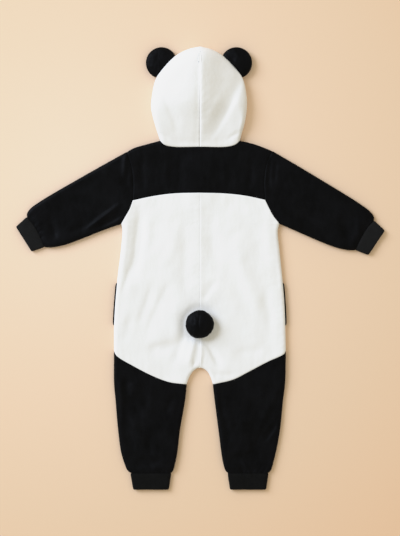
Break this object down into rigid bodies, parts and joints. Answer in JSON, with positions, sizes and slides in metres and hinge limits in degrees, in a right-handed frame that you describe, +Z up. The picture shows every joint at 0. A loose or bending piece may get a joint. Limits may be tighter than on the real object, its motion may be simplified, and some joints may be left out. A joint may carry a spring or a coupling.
{
  "type": "panda onesie",
  "caption": "Hooded toddler romper in white and black plush with round ears, a ball tail and rib cuffs, lying flat on its front with its back up.",
  "frame": {"origin": "the middle of the garment's footprint, on the surface it lies on", "axes": "+Z up, out of the back of the garment, +Y from the legs to the hood, +X to the wearer's right"},
  "size_m": [0.6813, 0.817, 0.039],
  "materials": {
    "white_fleece": "short brushed pile",
    "black_plush": "short velvety pile",
    "charcoal_rib": "fine rib knit",
    "zip_tape": "woven",
    "zip_metal": "satin"
  },
  "bodies": {
    "garment": {"ankle_cuff_left": "charcoal_rib", "ankle_cuff_right": "charcoal_rib", "back_left": "white_fleece", "back_leg_left": "black_plush", "back_leg_right": "black_plush", "back_right": "white_fleece", "back_yoke": "black_plush", "ear_left_back": "black_plush", "ear_left_front": "black_plush", "ear_right_back": "black_plush", "ear_right_front": "black_plush", "front_left": "white_fleece", "front_leg_left": "black_plush", "front_leg_right": "black_plush", "front_right": "white_fleece", "front_yoke_left": "black_plush", "front_yoke_right": "black_plush", "hood_left": "white_fleece", "hood_right": "white_fleece", "pocket_welt_left": "black_plush", "pocket_welt_right": "black_plush", "sleeve_cuff_left": "charcoal_rib", "sleeve_cuff_right": "charcoal_rib", "sleeve_left": "black_plush", "sleeve_right": "black_plush", "tail": "black_plush", "zip_slider": "zip_metal", "zip_tape_left": "zip_tape", "zip_tape_right": "zip_tape"},
    "pull": {"zip_pull": "zip_metal"}
  },
  "joints": [
    {"name": "pull_hinge", "type": "hinge", "parent": "garment", "child": "pull", "pos_m": [0, 0.172, 0.002], "axis": [1, 0, 0], "range_deg": [-5, 170]}
  ]
}
